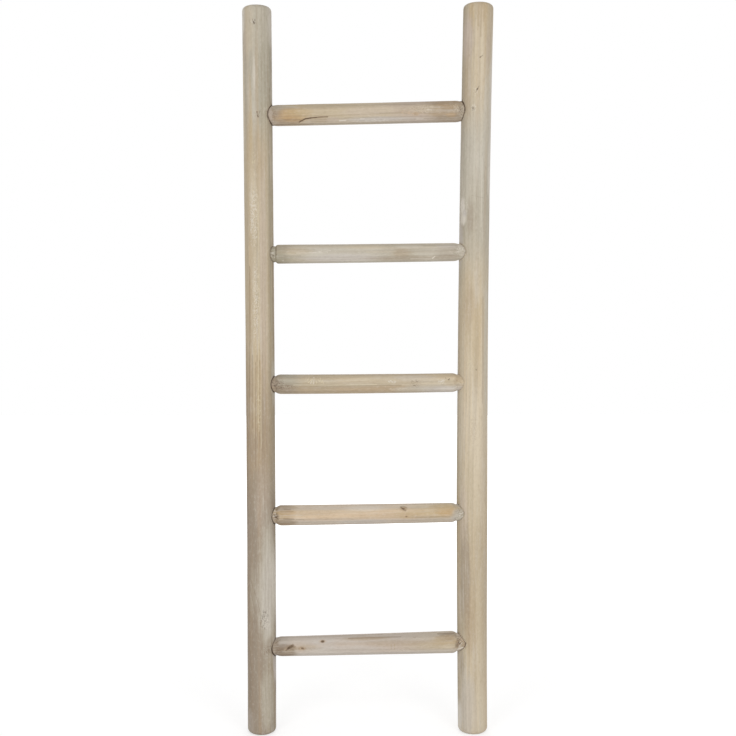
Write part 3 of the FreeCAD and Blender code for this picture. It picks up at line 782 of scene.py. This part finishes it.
def layRung(rung):  # the rung's own axes, and where its necks start
    left, right = rungEnds(rung)
    forward = (right - left).normalized()
    upward = (Vector((0, 0, 1)) - forward * forward.z).normalized()
    rung["span"] = (right - left).length
    rung["start"], rung["axes"] = left, (forward, upward, forward.cross(upward))
    rung["necks"], rung["crossings"], rung["joints"] = [], [], []
    for pole, end, seam, grime in zip((leftPole, rightPole), (left, right), rung["seams"], rung["grime"]):
        radius = poleRadius(pole, end.z)
        side = abs(poleAxis(pole, end.z)) - radius - rung["shoulderGap"]
        rung["necks"].append((pole["side"] * side - left.x) / forward.x)
        middle = (poleAxis(pole, end.z) - left.x) / forward.x
        crossing = left + forward * middle
        rung["crossings"].append((crossing.z, 0, -crossing.y))
        # painted shade: a dark seam on the neck where it enters the pole
        rung["joints"].append(((middle, 0, crossing.y), radius, seam - rung["seamInset"], rung["seamRun"],
                               0, grime))


def ringRadius(rings, along):
    for (start, thin), (end, thick) in zip(rings, rings[1:]):
        if start <= along <= end and end > start:
            return thin + (thick - thin) * (along - start) / (end - start)
    return rings[-1][1]


def shapeRung(rung):
    layRung(rung)
    rings = rungRings(rung)
    forward, upward, frontward = rung["axes"]
    strokes = planeStrokes(rung)
    leftNeck, rightNeck = rung["necks"]

    def skin(along, angle, radius=None):  # planed between the necks, plain on the tenons
        radius = radius or ringRadius(rings, along)
        return handShaped(rung, strokes, along, angle, radius) if leftNeck < along < rightNeck else radius

    bm = openTube(rung["segments"], len(rings))
    grain = bm.verts.layers.float_vector.new("grain")
    for v in bm.verts:
        along, radius = rings[round(v.co.z)]
        angle = math.atan2(v.co.y, v.co.x)  # 0 faces the front, a quarter turn faces up
        radius = skin(along, angle, radius)
        side, depth = radius * math.sin(angle), radius * math.cos(angle)
        share = min(max((along - leftNeck) / (rightNeck - leftNeck), 0.0), 1.0)
        lift = -rung["sag"] * arch(share)
        v.co = rung["start"] + forward * along + upward * (side + lift) + frontward * depth
        v[grain] = (along, side, depth)
    rung["skin"] = skin
    return meshObject(rung["node"] + ".wood", bm)


# Bores: a little wider and rougher than the tenons, so a dark seam shows round each neck
boreShape = {
    "segments": 96, "rings": 16, "behind": 0.3, "seedStep": 3.7,
    "uneven": 0.6, "unevenRound": 1.6, "chipped": 0.3, "chippedRound": 6, "chipSeed": 20,
}


def boreNoise(angle, turns, seed):
    return noise.noise(Vector((math.cos(angle) * turns, math.sin(angle) * turns, seed)))


def boreCutter(pole, rung, seed):
    forward, upward, frontward = rung["axes"]
    start = rung["start"] + forward * rung["span"] * pole["end"]
    inwards = forward * -pole["side"]
    depth = 2 * poleRadius(pole, start.z)
    bm = openTube(boreShape["segments"], boreShape["rings"])
    grain = bm.verts.layers.float_vector.new("grain")
    for v in bm.verts:
        share = v.co.z / (boreShape["rings"] - 1)
        angle = math.atan2(v.co.y, v.co.x)
        uneven = boreShape["uneven"] * boreNoise(angle, boreShape["unevenRound"], seed)
        chips = boreNoise(angle, boreShape["chippedRound"], seed + boreShape["chipSeed"])
        chipped = boreShape["chipped"] * max(chips, 0.0)
        radius = rung["neck"] + rung["seams"][pole["end"]] * (1 + uneven) + chipped
        spot = start + inwards * (depth * share - boreShape["behind"])
        v.co = spot + upward * radius * math.sin(angle) + frontward * radius * math.cos(angle)
        v[grain] = (v.co.z, v.co.x - poleAxis(pole, v.co.z), -v.co.y)
    return bm


def cutBores(poleObj, pole):
    cutters = []
    for index, rung in enumerate(rungs):
        seed = index + boreShape["seedStep"] * pole["side"]
        cutters.append(meshObject("cutter", boreCutter(pole, rung, seed)))
        cut = poleObj.modifiers.new("bore", "BOOLEAN")
        cut.operation, cut.solver, cut.object = "DIFFERENCE", "EXACT", cutters[-1]
    bpy.context.view_layer.update()
    bored = bpy.data.meshes.new_from_object(poleObj.evaluated_get(bpy.context.evaluated_depsgraph_get()))
    poleObj.modifiers.clear()
    poleObj.data = bored
    for cutter in cutters:
        bpy.data.objects.remove(cutter)
    bm = bmesh.new()
    bm.from_mesh(bored)
    smoothed(bm)
    bm.to_mesh(bored)
    bm.free()


def dress(obj, node, finish):
    obj.data.materials.clear()
    obj.data.materials.append(finish)
    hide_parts(node)
    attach(obj, "root")


# Marks at random on the side that faces away from the camera
awayMarks = {
    "seedStep": 100, "turns": (128, 232), "gap": 170, "inset": 0.08,
    "stainLength": (40, 130), "stainWidth": (9, 17), "stainTones": (mist, clay, tan, straw, mud),
    "stainShare": (0.35, 0.6), "lineLength": (6, 90), "lineSwing": (-4, 4), "lineWidth": (1.0, 1.6),
    "lineTones": (umber, umber, cream), "lineShare": (0.3, 0.55),
    "knotSize": (2.2, 4.0), "knotShare": (0.4, 0.7),
    "flecks": ((40, 110), (9, 15), straw, 0.6), "specks": ((14, 40), (8, 13), umber, 0.45),
}


def agedBack(piece):
    draw = random.Random(piece["seed"] + awayMarks["seedStep"])
    span, inset = piece["span"], awayMarks["inset"]

    def spot():
        return draw.uniform(inset, 1 - inset) * span, draw.uniform(*awayMarks["turns"])

    def between(key):
        return draw.uniform(*awayMarks[key])

    stains, lines = [], []
    for _ in range(round(span / awayMarks["gap"])):
        stains.append(spot() + (between("stainLength"), between("stainWidth"),
                                draw.choice(awayMarks["stainTones"]), between("stainShare")))
        place, turn = spot()
        end = (place + between("lineLength"), turn + between("lineSwing"))
        lines.append((between("lineWidth"), draw.choice(awayMarks["lineTones"]), between("lineShare"),
                      place, turn, *end))
    piece["stains"] = piece["stains"] + stains
    piece["lines"] = piece["lines"] + lines
    piece["knots"] = piece["knots"] + [spot() + (between("knotSize"), between("knotShare"))]
    for kind in ("flecks", "specks"):
        length, width, tint, share = awayMarks[kind]
        piece[kind] = piece[kind] + [spot() + (draw.uniform(*length), draw.uniform(*width), tint, share)]


for rung in rungs:
    rungObj = shapeRung(rung)
    agedBack(rung)
    dress(rungObj, rung["node"], washedWood(rung["node"] + "_wash", rung))
print("rungs shaped:", len(rungs))

for pole in (leftPole, rightPole):
    poleObj = shapePole(pole)
    cutBores(poleObj, pole)
    agedBack(pole)
    dress(poleObj, pole["node"], washedWood(pole["node"] + "_wash", pole))
print("poles shaped and bored")

# Nails: punched below the wood, bright where the punch met them
steel = {
    "bright": tone(150, 146, 140), "dull": tone(96, 84, 72), "dullEdge": (0.4, 0.65),
    "grime": ((0.002, 0.002, 0.002), 3.0, 3.0, 0.6),  # cell in metres, seed, detail and roughness
    "drawn": ((0.0002, 0.004, 0.0002), 5.0), "rough": 0.35, "grimeRough": 0.3,
}


def punchedSteel(name):
    f = Finish(bpy.data.materials.new(name))
    place = f.add("ShaderNodeTexCoord", {}, {}, "Object")
    grime, drawn = f.noise(place, *steel["grime"]), f.noise(place, *steel["drawn"])
    colour = f.mix(grime.step(*steel["dullEdge"]), steel["bright"], steel["dull"])
    rough = steel["rough"] + grime * steel["grimeRough"]
    normal = f.add("ShaderNodeBump", {}, {"Strength": 0.3, "Distance": 0.0002, "Height": drawn + grime})
    return f.output(f.add("ShaderNodeBsdfPrincipled", {}, {"Base Color": colour, "Roughness": rough,
                                                           "Normal": normal, "Metallic": 1.0}))


nailSteel = punchedSteel("nail_steel")
for name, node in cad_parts.items():
    if name.endswith("_nail"):
        node.data.materials.clear()
        node.data.materials.append(nailSteel)
print("nails finished")

# Studio: pale floor, a soft box to each side of the camera and one behind the ladder, white all round
studio = {
    "floorSize": 14.0, "floorCells": 8, "floorLit": 0.5, "floorGlow": 0.6, "glowReach": (0.7, 2.4),
    "floorTones": (tone(236, 236, 236), tone(242, 242, 242)), "floorNoise": ((0.4, 0.4, 0.4), 1.0),
    "frontPower": 11.6, "frontSize": (0.8, 2.0), "frontPlace": (0.9, -1.75, 1.0),
    "backPower": 22.0, "backSize": (1.6, 1.6), "backPlace": (0.0, 2.4, 1.2),
    "aim": (0.0, 0.0, 0.75), "worldFill": 0.58,
}
white = (1.0, 1.0, 1.0, 1.0)


def grey(level):
    return (level, level, level, 1.0)


def viewRays(f):  # rays that see the backdrop directly or in a reflection
    path = f.add("ShaderNodeLightPath").socket.node
    direct, glossy, through = (Val(f, path.outputs[kind])
                               for kind in ("Is Camera Ray", "Is Glossy Ray", "Is Transmission Ray"))
    return direct.over(glossy).over(through)


def paleFloor():
    f = Finish(bpy.data.materials.new("studio_floor"))
    place = f.add("ShaderNodeTexCoord", {}, {}, "Object")
    colour = f.mix(f.noise(place, *studio["floorNoise"]), *studio["floorTones"])
    lit = f.add("ShaderNodeBsdfDiffuse", {}, {"Color": colour})
    seenLit = f.add("ShaderNodeBsdfDiffuse", {}, {"Color": grey(studio["floorLit"])})
    away = f.vector("LENGTH", place, out="Value").step(*studio["glowReach"])  # whiter away from the ladder
    glowColour = f.mix(away, grey(studio["floorGlow"]), white)
    glow = f.add("ShaderNodeEmission", {}, {"Color": glowColour, "Strength": 1.0})
    seen = f.add("ShaderNodeAddShader", {}, {0: seenLit, 1: glow})
    return f.output(f.add("ShaderNodeMixShader", {}, {0: viewRays(f), 1: lit, 2: seen}))


bm = bmesh.new()
cells = studio["floorCells"]
bmesh.ops.create_grid(bm, x_segments=cells, y_segments=cells, size=studio["floorSize"] / 2)
floorMesh = bpy.data.meshes.new("studio_floor")
bm.to_mesh(floorMesh)
bm.free()
floor = bpy.data.objects.new("studio_floor", floorMesh)
scene.collection.objects.link(floor)
floorMesh.materials.append(paleFloor())

scene.world = bpy.data.worlds.new("studio_white")
sky = Finish(scene.world)
seenWhite = viewRays(sky)
strength = seenWhite + (1 - seenWhite) * studio["worldFill"]
sky.output(sky.add("ShaderNodeBackground", {}, {"Color": white, "Strength": strength}), "World")


def softBox(name, power, size, place):
    light = bpy.data.lights.new(name, "AREA")
    light.energy, light.shape = power, "RECTANGLE"
    light.size, light.size_y = size
    box = bpy.data.objects.new(name, light)
    box.location = place
    box.rotation_euler = (Vector(studio["aim"]) - box.location).to_track_quat("-Z", "Y").to_euler()
    scene.collection.objects.link(box)


across, back, up = studio["frontPlace"]
softBox("left_soft_box", studio["frontPower"], studio["frontSize"], (-across, back, up))
softBox("right_soft_box", studio["frontPower"], studio["frontSize"], (across, back, up))
softBox("back_soft_box", studio["backPower"], studio["backSize"], studio["backPlace"])

# Camera: level with the upper middle of the ladder, turned and tipped a little; focal length in pixels
camera = {
    "place": (-0.01705, -2.2, 0.8725), "tip": 2.877, "turn": 0.426, "roll": 0.089, "focal": 1067.0,
    "imageWidth": 736, "sensor": 36.0,
}
lens = bpy.data.cameras.new("studio_camera")
lens.sensor_width = camera["sensor"]
lens.lens = camera["focal"] * camera["sensor"] / camera["imageWidth"]
cameraObj = bpy.data.objects.new("studio_camera", lens)
cameraObj.location = camera["place"]
turns = (90 - camera["tip"], camera["roll"], -camera["turn"])
cameraObj.rotation_euler = [math.radians(turn) for turn in turns]
scene.collection.objects.link(cameraObj)
scene.camera = cameraObj
scene.view_settings.view_transform = "Standard"
print("studio ready")
